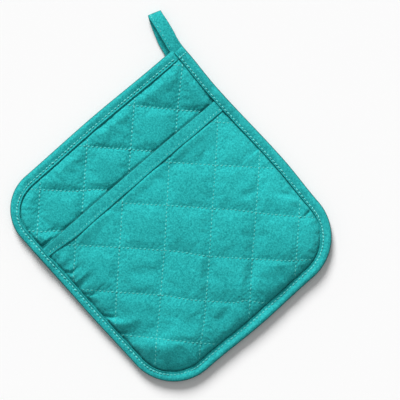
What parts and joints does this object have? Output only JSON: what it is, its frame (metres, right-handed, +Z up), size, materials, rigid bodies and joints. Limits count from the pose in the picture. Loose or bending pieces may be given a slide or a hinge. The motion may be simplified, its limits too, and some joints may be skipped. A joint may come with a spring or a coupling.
{
  "type": "pot holder",
  "caption": "Quilted cotton pot holder with a hand pocket across its front, a neoprene back, taped edges and a corner hanging loop.",
  "frame": {"origin": "middle of the pad's resting face, on the underside of its neoprene back", "axes": "+Z up from the resting face, out of the quilted front; +Y along the pad from the closed foot of the pocket to its open mouth; +X towards the side whose edge tape carries on as the hanging loop"},
  "size_m": [0.1945, 0.2341, 0.0158],
  "materials": {
    "quilted_cotton": "matt twill, quilted",
    "pocket_cotton": "matt twill, quilted",
    "cotton_tape": "matt twill tape",
    "neoprene": "matt, pin-holed"
  },
  "bodies": {
    "root": {"quilted_body": "quilted_cotton", "neoprene_back": "neoprene", "pocket_panel": "pocket_cotton", "pocket_mouth_binding": "cotton_tape", "edge_binding": "cotton_tape", "hanging_loop": "cotton_tape"}
  },
  "joints": []
}
